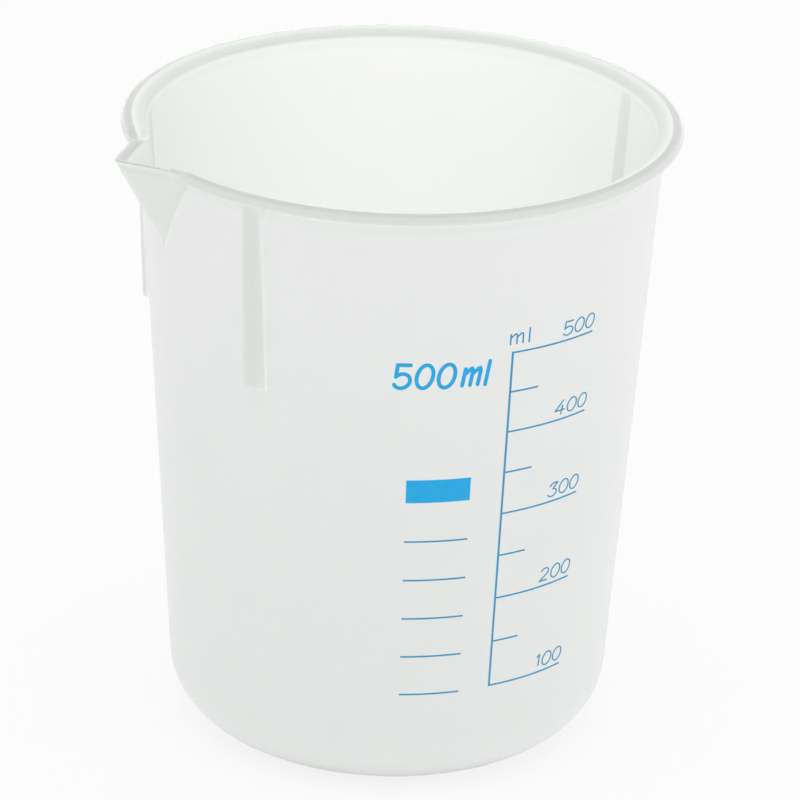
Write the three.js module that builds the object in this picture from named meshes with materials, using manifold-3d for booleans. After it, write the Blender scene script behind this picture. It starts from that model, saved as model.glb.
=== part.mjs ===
// A 500 ml plastic beaker: a drafted cup moulded in one piece, with a pouring spout, a lip and three
// stacking ribs, and the printed film that marks its scale. Millimetres, +Z up.
// The origin is on the axis of the cup, on the plane that the base stands on.
// The spout points along -X, and the printed scale faces -Y.

import * as THREE from 'three';
import { ConvexGeometry } from 'three/addons/geometries/ConvexGeometry.js';
import { mergeVertices } from 'three/addons/utils/BufferGeometryUtils.js';
import Module from 'manifold-3d';

const wasm = await Module();
wasm.setup();

// Cup: the wall is a cone that would meet the base plane at wallFootRadius
const cupHeight = 120.2;
const wallFootRadius = 41.13;
const wallDraft = THREE.MathUtils.degToRad(3.57);
const wallThickness = 1.6;
const floorThickness = 2.0;
const baseCornerRadius = 12.4;

// Lip around the mouth
const lipOverhang = 3.15;
const lipDepth = 1.8;
const lipNoseRadius = 0.9;
const lipUnderEdgeRadius = 0.6;
const lipRootFillet = 2.2;

// Mouth: from a crease on top of the lip a slope runs down to a round on the inner wall
const lipLandWidth = 1.95;
const mouthSlope = THREE.MathUtils.degToRad(24);
const mouthRounding = 1.6;

// Spout: two flat faces that meet in a blunt keel and run out on the wall below
const spoutReach = 8.75;
const spoutDepth = 18.5;
const spoutEdgeDrop = 0.7;
const spoutFaceAngle = THREE.MathUtils.degToRad(49.5);
const spoutKeelWidth = 0.8;
const spoutRootDepth = 3.0;
const spoutAzimuth = Math.PI;

// Stacking ribs: one on each side of the spout and one opposite
const ribSpoutAngle = THREE.MathUtils.degToRad(31);
const ribWidth = 4.8;
const ribStandOut = 1.6;
const ribRounding = 1.3;
const ribFootHeight = 81.5;
const ribDraft = THREE.MathUtils.degToRad(2.15);
const ribLapIntoLip = 0.8;

// Printed film
const inkThickness = 0.1;
const inkClearance = 0.04;
const scaleAzimuth = THREE.MathUtils.degToRad(-90);
const lineWidth = 0.38;
const longMarkAngle = THREE.MathUtils.degToRad(22);
const shortMarkAngle = THREE.MathUtils.degToRad(6.85);
const markGap = 0.1;

// Scale: volumes in millilitres, and the wall left free under the lip
const firstVolume = 100;
const lastVolume = 500;
const volumeStep = 50;
const numberedStep = 100;
const scaleHeadroom = 12;

// Numerals over the long marks, and the unit over the stem
const numeralHeight = 2.68;
const numeralWidth = 2.2;
const numeralPitch = 2.75;
const numeralStroke = 0.3;
const numeralRise = 1.0;
const numeralSlant = THREE.MathUtils.degToRad(10);
const unitHeight = 2.75;
const unitWidth = 2.5;
const unitGap = 1.3;
const unitRise = 1.6;
const unitLead = 0.6;
const unitSlant = 0;

// Bold capacity mark, left of the top of the scale
const capacityAzimuth = THREE.MathUtils.degToRad(-117);
const capacityDrop = 5.6;
const capacityHeight = 4.6;
const capacityWidth = 2.9;
const capacityPitch = 3.95;
const capacityStroke = 0.72;
const capacityUnitGap = 1.4;
const capacitySlant = THREE.MathUtils.degToRad(9);

// Writing panel: a solid head bar with ruled lines under it
const panelAzimuth = THREE.MathUtils.degToRad(-113.2);
const panelAngle = THREE.MathUtils.degToRad(15);
const panelTopHeight = 67;
const panelHeadDepth = 4.6;
const panelRuleCount = 5;
const panelRulePitch = 8;

// Facets
const roundSteps = 96;
const arcSteps = 5;
const smallArcSteps = 3;
const smallRound = 1.0;
const glyphArcSteps = 10;
const closingDistance = 0.01;
const longestMitre = 2.0;
const barStep = 2.0;
const cutMargin = 2.0;
const fillStep = 0.02;
const cubicMillimetresPerMillilitre = 1000;

const plastic = new THREE.MeshStandardMaterial({ color: 0xe6e8e4, roughness: 0.42, metalness: 0 });
const ink = new THREE.MeshStandardMaterial({ color: 0x1a9fe0, roughness: 0.5, metalness: 0 });

const wallSlope = Math.tan(wallDraft);
const cavityFootRadius = wallFootRadius - wallThickness / Math.cos(wallDraft);
const cavityCornerRadius = baseCornerRadius - wallThickness;
const lipUnderside = cupHeight - lipDepth;
const spoutTop = cupHeight - spoutEdgeDrop;
const spoutApexHeight = spoutTop - spoutDepth;

/** Radius of a wall cone at a height. */
function coneRadius(footRadius, height) {
  return footRadius + wallSlope * height;
}

/** Radius of the outer wall at a height. */
function wallRadius(height) {
  return coneRadius(wallFootRadius, height);
}

const lipRadius = wallRadius(cupHeight) + lipOverhang;
const creaseRadius = lipRadius - lipLandWidth;
const spoutApexRadius = wallRadius(spoutApexHeight);
const spoutTipRadius = wallRadius(cupHeight) + spoutReach;

/** Points of an arc in the (radius, height) plane, with fewer steps on a small round. */
function arcPoints(centre, radius, from, to) {
  const points = [];
  const steps = radius < smallRound ? smallArcSteps : arcSteps;
  for (let step = 0; step <= steps; step++) {
    const angle = THREE.MathUtils.lerp(from, to, step / steps);
    const spoke = new THREE.Vector2(Math.cos(angle), Math.sin(angle));
    points.push(centre.clone().addScaledVector(spoke, radius));
  }
  return points;
}

/** Centre of the round that joins a level floor to the wall cone above it. */
function cornerCentre(footRadius, level, radius) {
  const height = level + radius;
  return new THREE.Vector2(coneRadius(footRadius, height) - radius / Math.cos(wallDraft), height);
}

/** The round from a level floor up into the wall cone. */
function cornerArc(footRadius, level, radius) {
  return arcPoints(cornerCentre(footRadius, level, radius), radius, -Math.PI / 2, -wallDraft);
}

/** The round from the outer wall outwards into the underside of the lip. */
function lipRootArc() {
  const height = lipUnderside - lipRootFillet;
  const centre = new THREE.Vector2(wallRadius(height) + lipRootFillet / Math.cos(wallDraft), height);
  return arcPoints(centre, lipRootFillet, Math.PI - wallDraft, Math.PI / 2);
}

/** The round from the inner wall into the slope of the mouth, which it touches as it does the wall. */
function mouthArc() {
  const outset = mouthRounding / Math.cos(wallDraft);
  const run = (cavityFootRadius + outset - creaseRadius) * Math.sin(mouthSlope);
  const rise = Math.cos(mouthSlope) - wallSlope * Math.sin(mouthSlope);
  const height = (cupHeight * Math.cos(mouthSlope) - mouthRounding + run) / rise;
  const centre = new THREE.Vector2(coneRadius(cavityFootRadius, height) + outset, height);
  return arcPoints(centre, mouthRounding, Math.PI - wallDraft, Math.PI / 2 + mouthSlope);
}

/** Merges a geometry's vertices and drops the triangles that have no area. */
function closedMesh(geometry) {
  const bare = geometry.clone();
  bare.deleteAttribute('normal');
  bare.deleteAttribute('uv');
  const merged = mergeVertices(bare);
  const index = [];
  for (let i = 0; i < merged.index.count; i += 3) {
    const corners = [merged.index.getX(i), merged.index.getX(i + 1), merged.index.getX(i + 2)];
    if (new Set(corners).size === corners.length) {
      index.push(...corners);
    }
  }
  merged.setIndex(index);
  return merged;
}

/** Turns a closed geometry into a solid for joining and cutting. */
function solid(geometry) {
  const mesh = closedMesh(geometry);
  return new wasm.Manifold(new wasm.Mesh({
    numProp: 3,
    vertProperties: new Float32Array(mesh.attributes.position.array),
    triVerts: new Uint32Array(mesh.index.array),
  }));
}

/** Turns a solid back into a geometry. */
function geometryOf(body) {
  const mesh = body.getMesh();
  const geometry = new THREE.BufferGeometry();
  geometry.setAttribute('position', new THREE.Float32BufferAttribute(mesh.vertProperties, 3));
  geometry.setIndex(Array.from(mesh.triVerts));
  return geometry;
}

/** Turns a (radius, height) outline about the axis of the cup. */
function turned(points) {
  return new THREE.LatheGeometry(points, roundSteps).rotateX(Math.PI / 2);
}

/** The cup's outside as a full body, with the lip. */
function cupOutside() {
  const underEdge = new THREE.Vector2(lipRadius - lipUnderEdgeRadius, lipUnderside + lipUnderEdgeRadius);
  const nose = new THREE.Vector2(lipRadius - lipNoseRadius, cupHeight - lipNoseRadius);
  return turned([
    new THREE.Vector2(0, 0),
    ...cornerArc(wallFootRadius, 0, baseCornerRadius),
    ...lipRootArc(),
    ...arcPoints(underEdge, lipUnderEdgeRadius, -Math.PI / 2, 0),
    ...arcPoints(nose, lipNoseRadius, 0, Math.PI / 2),
    new THREE.Vector2(0, cupHeight),
  ]);
}

/** The space inside the cup, open past the rim. */
function cupInside() {
  const top = cupHeight + cutMargin;
  return turned([
    new THREE.Vector2(0, floorThickness),
    ...cornerArc(cavityFootRadius, floorThickness, cavityCornerRadius),
    ...mouthArc(),
    new THREE.Vector2(creaseRadius, cupHeight),
    new THREE.Vector2(creaseRadius, top),
    new THREE.Vector2(0, top),
  ]);
}

/** A wedge whose two faces spread from an apex on the wall, cut level at the top. */
function spoutWedge(top, inset) {
  const growth = (top - spoutApexHeight) / spoutDepth;
  const rootRadius = coneRadius(cavityFootRadius, cupHeight) - spoutRootDepth;
  const rootHalfWidth = spoutKeelWidth / 2 + (spoutTipRadius - rootRadius) * Math.tan(spoutFaceAngle);
  const apexX = spoutApexRadius - inset;
  const tipX = apexX + (spoutTipRadius - spoutApexRadius) * growth;
  const rootX = apexX + (rootRadius - spoutApexRadius) * growth;
  const corners = [new THREE.Vector3(apexX, 0, spoutApexHeight)];
  for (const side of [-1, 1]) {
    corners.push(new THREE.Vector3(tipX, side * growth * spoutKeelWidth / 2, top));
    corners.push(new THREE.Vector3(rootX, side * growth * rootHalfWidth, top));
  }
  return new ConvexGeometry(corners).rotateZ(spoutAzimuth);
}

/** How far the spout's inside lies behind its outside along the spout, for a wall of even thickness. */
function spoutInset() {
  const keel = new THREE.Vector3(spoutTipRadius - spoutApexRadius, 0, spoutDepth);
  const edge = new THREE.Vector3(-Math.cos(spoutFaceAngle), Math.sin(spoutFaceAngle), 0);
  const normal = edge.cross(keel).normalize();
  return wallThickness / Math.abs(normal.x);
}

/** One stacking rib: a round-fronted bar on the wall, from its foot up into the lip. */
function rib(azimuth) {
  const half = ribWidth / 2;
  const back = -wallThickness / 2;
  const shoulder = ribStandOut - ribRounding;
  const section = new THREE.Shape();
  section.moveTo(back, -half);
  section.lineTo(shoulder, -half);
  section.absarc(shoulder, -half + ribRounding, ribRounding, -Math.PI / 2, 0);
  section.absarc(shoulder, half - ribRounding, ribRounding, 0, Math.PI / 2);
  section.lineTo(back, half);
  const length = (lipUnderside + ribLapIntoLip - ribFootHeight) / Math.cos(ribDraft);
  const sweep = { depth: length, bevelEnabled: false, curveSegments: arcSteps };
  const bar = new THREE.ExtrudeGeometry(section, sweep);
  bar.rotateY(ribDraft);
  bar.translate(wallRadius(ribFootHeight), 0, ribFootHeight);
  return bar.rotateZ(azimuth);
}

/** The whole moulding: cup, lip, spout and ribs. */
function mouldedBody() {
  let body = solid(cupOutside()).add(solid(spoutWedge(spoutTop, 0)));
  const ribTurns = [-ribSpoutAngle, ribSpoutAngle, Math.PI];
  for (const azimuth of ribTurns.map((turn) => spoutAzimuth + turn)) {
    body = body.add(solid(rib(azimuth)));
  }
  body = body.subtract(solid(cupInside()));
  body = body.subtract(solid(spoutWedge(cupHeight + cutMargin, spoutInset())));
  return geometryOf(body);
}

/** Radius of the space inside the cup at a height. */
function cavityRadius(height) {
  const centre = cornerCentre(cavityFootRadius, floorThickness, cavityCornerRadius);
  const below = centre.y - height;
  if (below > cavityCornerRadius * Math.sin(wallDraft)) {
    return centre.x + Math.sqrt(cavityCornerRadius ** 2 - below ** 2);
  }
  return coneRadius(cavityFootRadius, height);
}

/** Height that a volume of liquid reaches in the cup, or the cup's height if it overflows. */
function fillHeight(millilitres) {
  let height = floorThickness;
  let room = millilitres * cubicMillimetresPerMillilitre;
  while (room > 0 && height < cupHeight) {
    room -= Math.PI * cavityRadius(height + fillStep / 2) ** 2 * fillStep;
    height += fillStep;
  }
  return height;
}

/** Lays a flat print on the wall: x runs round the cup, y up the wall and z out of it. */
function layOnWall(geometry, azimuth, height) {
  const position = geometry.attributes.position;
  const spot = new THREE.Vector3();
  for (let i = 0; i < position.count; i++) {
    spot.fromBufferAttribute(position, i);
    const radius = wallRadius(height + spot.y) + inkClearance + spot.z;
    const angle = azimuth + spot.x / wallRadius(height);
    position.setXYZ(i, radius * Math.cos(angle), radius * Math.sin(angle), height + spot.y);
  }
  return geometry;
}

/** A printed bar that starts at an azimuth and is centred on a height. */
function printedBar(azimuth, length, height, depth) {
  const steps = Math.max(1, Math.ceil(length / barStep));
  const bar = new THREE.BoxGeometry(length, depth, inkThickness, steps, 1, 1);
  bar.translate(length / 2, 0, inkThickness / 2);
  return layOnWall(closedMesh(bar), azimuth, height);
}

/** A path of straight runs through points. */
function straight(...points) {
  const path = new THREE.Path();
  path.setFromPoints(points.map(([x, y]) => new THREE.Vector2(x, y)));
  return path;
}

/** A bowl of a character: a clockwise stretch of an ellipse, in degrees, then any straight runs. */
function bowl(centre, radii, from, to, tail = []) {
  const path = new THREE.Path();
  path.absellipse(...centre, ...radii, THREE.MathUtils.degToRad(from), THREE.MathUtils.degToRad(to), true);
  tail.forEach((point) => path.lineTo(...point));
  return path;
}

/** The centre lines of each printed character, in a box of width w and height h. */
const characters = {
  0: (w, h) => [bowl([w / 2, h / 2], [w / 2, h / 2], 90, -270)],
  1: (w, h) => [straight([w * 0.55, h * 0.77], [w * 0.77, h * 0.94], [w * 0.88, h * 0.08])],
  2: (w, h) => [
    bowl([w * 0.53, h * 0.7], [w * 0.39, h * 0.27], 165, -38, [[w * 0.12, h * 0.04], [w * 0.9, h * 0.04]]),
  ],
  3: (w, h) => [
    straight([w * 0.1, h * 0.78], [w * 0.2, h * 0.93], [w * 0.42, h], [w * 0.88, h], [w * 0.46, h * 0.56]),
    bowl([w * 0.46, h * 0.28], [w * 0.46, h * 0.28], 90, -155),
  ],
  4: (w, h) => [
    straight([w * 0.7, h], [0, h * 0.3], [w, h * 0.3]),
    straight([w * 0.72, h * 0.62], [w * 0.72, 0]),
  ],
  5: (w, h) => [
    straight([w * 0.85, h], [w * 0.06, h], [w * 0.1, h * 0.48]),
    bowl([w / 2, h * 0.31], [w / 2, h * 0.31], 145, -150),
  ],
  m: (w, h) => [
    straight([0, 0], [0, h * 0.71]),
    straight([0, h * 0.46], [w * 0.33, h * 0.69], [w * 0.43, h * 0.71], [w / 2, h * 0.63], [w / 2, 0]),
    straight([w / 2, h * 0.46], [w * 0.83, h * 0.69], [w * 0.93, h * 0.71], [w, h * 0.63], [w, 0]),
  ],
  l: (w, h) => [straight([0, 0], [0, h])],
};

/** The flat outline of one pen stroke along a path. */
function strokeShape(path, stroke) {
  const traced = path.getPoints(glyphArcSteps);
  const points = traced.filter((point, i) => i === 0 || !point.equals(traced[i - 1]));
  const closed = points[0].distanceTo(points.at(-1)) < closingDistance;
  if (closed) {
    points.pop();
  }
  const count = points.length;
  const sides = [1, -1].map((side) => points.map((point, i) => {
    const before = points[closed ? (i + count - 1) % count : Math.max(i - 1, 0)];
    const after = points[closed ? (i + 1) % count : Math.min(i + 1, count - 1)];
    const into = (i > 0 || closed ? point.clone().sub(before) : after.clone().sub(point)).normalize();
    const out = (i < count - 1 || closed ? after.clone().sub(point) : into.clone()).normalize();
    const across = new THREE.Vector2(-into.y - out.y, into.x + out.x).normalize();
    const mitre = 1 / across.dot(new THREE.Vector2(-into.y, into.x));
    return point.clone().addScaledVector(across, side * Math.min(mitre, longestMitre) * stroke / 2);
  }));
  if (closed) {
    const ring = new THREE.Shape(sides[0]);
    ring.holes.push(new THREE.Path(sides[1].reverse()));
    return ring;
  }
  return new THREE.Shape([...sides[0], ...sides[1].reverse()]);
}

/** A printed character that stands on a height, with its left edge at an azimuth. */
function printedCharacter(name, azimuth, height, sizes) {
  const sheet = { depth: inkThickness, bevelEnabled: false };
  let film = null;
  for (const path of characters[name](sizes.width, sizes.height)) {
    const flat = new THREE.ExtrudeGeometry(strokeShape(path, sizes.stroke), sheet);
    film = film === null ? solid(flat) : film.add(solid(flat));
  }
  const geometry = geometryOf(film);
  geometry.applyMatrix4(new THREE.Matrix4().makeShear(0, 0, Math.tan(sizes.slant), 0, 0, 0));
  return layOnWall(geometry, azimuth, height);
}

const beaker = new THREE.Group();
beaker.name = 'plastic_beaker';

/** Adds one named piece to the beaker. */
function addPiece(name, geometry, material) {
  const mesh = new THREE.Mesh(geometry, material);
  mesh.name = name;
  beaker.add(mesh);
}

/** Adds a number of any digits, and gives the azimuth where the next character would start. */
function addNumber(label, number, azimuth, height, sizes) {
  const places = ['hundreds', 'tens', 'units'];
  let start = azimuth;
  String(number).split('').forEach((digit, i) => {
    addPiece(`${label}_${places[i]}`, printedCharacter(digit, start, height, sizes), ink);
    start += sizes.pitch / wallRadius(height);
  });
  return start;
}

/** Adds the letters m and l. */
function addUnit(label, azimuth, height, sizes) {
  const next = azimuth + (sizes.width + sizes.gap) / wallRadius(height);
  addPiece(`${label}_m`, printedCharacter('m', azimuth, height, sizes), ink);
  addPiece(`${label}_l`, printedCharacter('l', next, height, sizes), ink);
}

addPiece('moulded_body', mouldedBody(), plastic);

// The marks of the scale, as far up as the wall has room
const numeral = {
  height: numeralHeight,
  width: numeralWidth,
  pitch: numeralPitch,
  stroke: numeralStroke,
  slant: numeralSlant,
};
const bottomMark = fillHeight(firstVolume);
let topMark = bottomMark;
for (let volume = firstVolume; volume <= lastVolume; volume += volumeStep) {
  const height = fillHeight(volume);
  if (height < lipUnderside - scaleHeadroom) {
    const radius = wallRadius(height);
    const numbered = volume % numberedStep === 0;
    const markAngle = numbered ? longMarkAngle : shortMarkAngle;
    const start = scaleAzimuth + (lineWidth / 2 + markGap) / radius;
    addPiece(`graduation_${volume}`, printedBar(start, markAngle * radius, height, lineWidth), ink);
    if (numbered) {
      const numberLength = 2 * numeralPitch + numeralWidth;
      const numberStart = start + longMarkAngle - numberLength / radius;
      addNumber(`numeral_${volume}`, volume, numberStart, height + numeralRise, numeral);
    }
    topMark = height;
  }
}

const stemLength = topMark - bottomMark + lineWidth;
const stemMiddle = (topMark + bottomMark) / 2;
const stemStart = scaleAzimuth - lineWidth / 2 / wallRadius(stemMiddle);
addPiece('scale_stem', printedBar(stemStart, lineWidth, stemMiddle, stemLength), ink);

const unit = {
  height: unitHeight,
  width: unitWidth,
  gap: unitGap,
  stroke: numeralStroke,
  slant: unitSlant,
};
addUnit('unit_letter', scaleAzimuth - unitLead / wallRadius(topMark), topMark + unitRise, unit);

const capacity = {
  height: capacityHeight,
  width: capacityWidth,
  pitch: capacityPitch,
  stroke: capacityStroke,
  gap: capacityUnitGap,
  slant: capacitySlant,
};
const capacityFoot = topMark - capacityDrop;
const capacityEnd = addNumber('capacity', lastVolume, capacityAzimuth, capacityFoot, capacity);
const capacityUnitStart = capacityEnd + capacityUnitGap / 2 / wallRadius(capacityFoot);
addUnit('capacity_letter', capacityUnitStart, capacityFoot, capacity);

const headMiddle = panelTopHeight - panelHeadDepth / 2;
const headLength = panelAngle * wallRadius(headMiddle);
addPiece('panel_head_bar', printedBar(panelAzimuth, headLength, headMiddle, panelHeadDepth), ink);
for (let rule = 1; rule <= panelRuleCount; rule++) {
  const height = panelTopHeight - panelHeadDepth - rule * panelRulePitch;
  const ruleLength = panelAngle * wallRadius(height);
  addPiece(`panel_rule_${rule}`, printedBar(panelAzimuth, ruleLength, height, lineWidth), ink);
}

export default beaker;
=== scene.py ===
"""Looks of a graduated plastic beaker: the smooth moulding, its printed film and a plain white studio.

Sizes are millimetres and degrees unless a name says otherwise, and meshes are made in metres.
The spout points along -X and the printed scale faces -Y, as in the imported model.
"""

import logging
import math
from dataclasses import dataclass, field, replace
from enum import Enum

import bpy
import numpy as np
from mathutils import Matrix, Vector
from mathutils.geometry import delaunay_2d_cdt


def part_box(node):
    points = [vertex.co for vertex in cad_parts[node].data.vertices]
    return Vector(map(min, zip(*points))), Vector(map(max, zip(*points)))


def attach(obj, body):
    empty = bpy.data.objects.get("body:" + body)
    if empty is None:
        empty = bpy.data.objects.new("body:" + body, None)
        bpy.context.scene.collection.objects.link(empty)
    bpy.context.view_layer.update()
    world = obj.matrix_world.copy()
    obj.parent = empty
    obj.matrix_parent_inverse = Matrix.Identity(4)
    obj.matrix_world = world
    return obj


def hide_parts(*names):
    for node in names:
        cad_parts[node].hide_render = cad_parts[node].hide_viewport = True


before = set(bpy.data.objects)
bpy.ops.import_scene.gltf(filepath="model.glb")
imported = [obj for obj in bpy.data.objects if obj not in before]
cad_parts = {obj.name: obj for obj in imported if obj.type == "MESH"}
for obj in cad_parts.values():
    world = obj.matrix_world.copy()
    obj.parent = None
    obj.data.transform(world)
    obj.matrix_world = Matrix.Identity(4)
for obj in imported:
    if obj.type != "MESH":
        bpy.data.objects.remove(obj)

log = logging.getLogger("beaker")

Colour = tuple[float, float, float, float]
Faces = list[tuple[int, ...]]
Pair = tuple[float, float]
Piece = bpy.types.Object
Socket = bpy.types.NodeSocket
Values = tuple[float, ...]

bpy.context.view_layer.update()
MM = 0.001
BODY = "root"
PICTURE_SIDE = 800
COLUMN_STEP = 190
MIX_FIRST, MIX_SECOND, MIX_RESULT = 6, 7, 2
MITRE_LIMIT = 0.5
DISC_CORNERS = 16
MERGE_DISTANCE = 1e-5
DRAW_STRETCH = (1.0, 1.0, 0.03)
STREAK_SCALE = 700.0
CLOUD_DETAIL = 3.0
FINE_DETAIL = 2.0
FINE_INK = (0.030, 0.290, 0.520, 1.0)
FINE_INK_THIN = (0.060, 0.340, 0.570, 1.0)


class Slot(Enum):
    """The record's material slots."""

    PLASTIC = "natural_plastic"
    INK = "blue_ink"


class Side(Enum):
    """Which side of the moulded wall a row of the section belongs to."""

    OUTER = 2
    LAND = 1
    MOUTH = 0
    INNER = -1


class StrokeEnd(Enum):
    """How a printed stroke ends."""

    SQUARE = "square"
    ROUND = "round"


def smooth_max(a: np.ndarray, b: np.ndarray, blend: float) -> np.ndarray:
    """Gives the larger of two values, with a round where they meet.

    Args:
        a: The first values.
        b: The second values.
        blend: The difference over which the round reaches.

    Returns:
        The rounded maximum.
    """
    near = np.maximum(blend - np.abs(a - b), 0.0)
    return np.maximum(a, b) + near * near / (4.0 * blend)


def smooth_min(a: np.ndarray, b: np.ndarray, blend: float) -> np.ndarray:
    """Gives the smaller of two values, with a round where they meet."""
    return -smooth_max(-a, -b, blend)


def smooth_step(value: np.ndarray, start: float, end: float) -> np.ndarray:
    """Gives a soft ramp that is 0 up to start and 1 from end on."""
    share = np.clip((value - start) / (end - start), 0.0, 1.0)
    return share * share * (3.0 - 2.0 * share)


def new_object(name: str, data: bpy.types.ID) -> Piece:
    """Makes an object and links it to the scene.

    Args:
        name: The object's name.
        data: Its mesh, lamp or camera.

    Returns:
        The new object.
    """
    thing = bpy.data.objects.new(name, data)
    bpy.context.scene.collection.objects.link(thing)
    return thing


def mesh_piece(name: str, vertices: np.ndarray, faces: Faces, smooth: bool) -> Piece:
    """Makes a mesh object from points in millimetres.

    Args:
        name: The name of the piece.
        vertices: The points, one row each.
        faces: The corners of each face.
        smooth: Whether the faces are shaded smooth.

    Returns:
        The new object, linked to the scene.
    """
    mesh = bpy.data.meshes.new(name)
    mesh.from_pydata((np.asarray(vertices) * MM).tolist(), [], faces)
    mesh.validate()
    if smooth:
        mesh.shade_smooth()
    else:
        mesh.shade_flat()
    return new_object(name, mesh)


class NodeSheet:
    """Adds nodes to a node tree and links them."""

    def __init__(self, tree: bpy.types.NodeTree) -> None:
        """Takes the tree to work on."""
        self.tree = tree
        self.column = 0

    def add(self, kind: str, **settings: object) -> bpy.types.Node:
        """Adds one node.

        Args:
            kind: The node's type name.
            settings: Attributes of the node, such as its operation.

        Returns:
            The new node.
        """
        node = self.tree.nodes.new(kind)
        node.location = (self.column * COLUMN_STEP, 0)
        self.column += 1
        for name, value in settings.items():
            setattr(node, name, value)
        return node

    def feed(self, target: Socket, source: object) -> None:
        """Feeds an input.

        Args:
            target: The input.
            source: A socket, which is linked to it, or a plain value, which it is set to.
        """
        if isinstance(source, Socket):
            self.tree.links.new(source, target)
        else:
            target.default_value = source

    def fill(self, node: bpy.types.Node, sources: dict[str, object]) -> None:
        """Feeds the named inputs of a node."""
        for name, source in sources.items():
            self.feed(node.inputs[name], source)

    def maths(self, operation: str, first: object, second: object) -> Socket:
        """Adds a Math node.

        Args:
            operation: What it does.
            first: Its first value.
            second: Its second value.

        Returns:
            The result.
        """
        node = self.add("ShaderNodeMath", operation=operation)
        self.feed(node.inputs[0], first)
        self.feed(node.inputs[1], second)
        return node.outputs[0]

    def spread(self, value: object, low: float, high: float) -> Socket:
        """Spreads a value from 0..1 over a range.

        Args:
            value: The value.
            low: The start of the range.
            high: The end of the range.

        Returns:
            The value in the range.
        """
        node = self.add("ShaderNodeMapRange")
        self.fill(node, {"Value": value, "To Min": low, "To Max": high})
        return node.outputs["Result"]

    def blend(self, factor: object, first: object, second: object) -> Socket:
        """Blends two colours.

        Args:
            factor: The share of the second colour, from 0 to 1.
            first: The first colour.
            second: The second colour.

        Returns:
            The blended colour.
        """
        node = self.add("ShaderNodeMix", data_type="RGBA")
        self.feed(node.inputs["Factor"], factor)
        self.feed(node.inputs[MIX_FIRST], first)
        self.feed(node.inputs[MIX_SECOND], second)
        return node.outputs[MIX_RESULT]

    def noise(self, place: object, scale: object, detail: float) -> Socket:
        """Adds a noise texture.

        Args:
            place: Where it is read.
            scale: How fine it is.
            detail: How many finer layers it has.

        Returns:
            Its value, from 0 to 1.
        """
        node = self.add("ShaderNodeTexNoise")
        self.fill(node, {"Vector": place, "Scale": scale, "Detail": detail})
        return node.outputs["Fac"]

    def relief(self, grain: Socket, size: Pair) -> Socket:
        """Adds a fine relief.

        Args:
            grain: Its height, from 0 to 1.
            size: Its full depth, and how much of it shows.

        Returns:
            Its normal.
        """
        depth, strength = size
        node = self.add("ShaderNodeBump")
        self.fill(node, {"Strength": strength, "Distance": depth * MM, "Height": grain})
        return node.outputs["Normal"]


def moulded_surface() -> bpy.types.NodeTree:
    """Builds the shared node group of a surface that took its texture from a polished mould.

    Returns:
        A group with the inputs Cloud Scale and Grain Scale. Its outputs are Cloud, a slow variation,
        Streak, the faint lines along the mould's draw, and Grain, the fine relief.
    """
    group = bpy.data.node_groups.new("moulded_surface", "ShaderNodeTree")
    for name, value in {"Cloud Scale": 30.0, "Grain Scale": 4000.0}.items():
        socket = group.interface.new_socket(name, in_out="INPUT", socket_type="NodeSocketFloat")
        socket.default_value = value
    for name in ("Cloud", "Streak", "Grain"):
        group.interface.new_socket(name, in_out="OUTPUT", socket_type="NodeSocketFloat")
    sheet = NodeSheet(group)
    given = sheet.add("NodeGroupInput")
    place = sheet.add("ShaderNodeTexCoord").outputs["Object"]
    drawn = sheet.add("ShaderNodeMapping")
    sheet.fill(drawn, {"Scale": DRAW_STRETCH, "Vector": place})
    sheet.fill(sheet.add("NodeGroupOutput"), {
        "Cloud": sheet.noise(place, given.outputs["Cloud Scale"], CLOUD_DETAIL),
        "Streak": sheet.noise(drawn.outputs["Vector"], STREAK_SCALE, FINE_DETAIL),
        "Grain": sheet.noise(place, given.outputs["Grain Scale"], FINE_DETAIL),
    })
    return group


def start_material(name: str) -> tuple[bpy.types.Material, NodeSheet, bpy.types.Node]:
    """Starts a material.

    Args:
        name: The material's name.

    Returns:
        The material, its node sheet and its shader.
    """
    material = bpy.data.materials.new(name)
    material.use_nodes = True
    return material, NodeSheet(material.node_tree), material.node_tree.nodes["Principled BSDF"]


@dataclass(frozen=True)
class NaturalPlastic:
    """Natural, milky polypropylene with a satin skin; a mask darkens it, partly for denser plastic and
    partly as painted shade.
    """

    surface: bpy.types.NodeTree
    thin_colour: Colour = (0.941, 0.978, 0.938, 1.0)
    cloud_colour: Colour = (0.929, 0.968, 0.926, 1.0)
    thick_colour: Colour = (0.458, 0.466, 0.455, 1.0)
    roughness: Pair = (0.36, 0.46)
    refraction: float = 1.49
    shine: Pair = (0.22, 0.05)
    thin_scatter: float = 9.0
    thick_scatter: float = 0.8
    scatter_colours: tuple[float, float, float] = (1.0, 1.0, 0.96)
    grain: Pair = (0.01, 0.12)

    def material(self) -> bpy.types.Material:
        """Builds the material.

        Returns:
            The material.
        """
        material, sheet, shader = start_material("natural_plastic")
        skin = sheet.add("ShaderNodeGroup", node_tree=self.surface)
        # The thickness attribute holds painted shade as well as the denser look of solid plastic; it
        # darkens the colour, lowers the shine and shortens the scatter.
        density_and_shade = sheet.add("ShaderNodeAttribute", attribute_name="thickness").outputs["Fac"]
        clouded = sheet.blend(skin.outputs["Cloud"], self.thin_colour, self.cloud_colour)
        shallower = sheet.maths("POWER", self.thick_scatter / self.thin_scatter, density_and_shade)
        sheet.fill(shader, {
            "Base Color": sheet.blend(density_and_shade, clouded, self.thick_colour),
            "Roughness": sheet.spread(skin.outputs["Streak"], *self.roughness),
            "IOR": self.refraction,
            "Specular IOR Level": sheet.spread(density_and_shade, *self.shine),
            "Subsurface Weight": 1.0,
            "Subsurface Radius": self.scatter_colours,
            "Subsurface Scale": sheet.maths("MULTIPLY", self.thin_scatter * MM, shallower),
            "Normal": sheet.relief(skin.outputs["Grain"], self.grain),
        })
        return material


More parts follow.
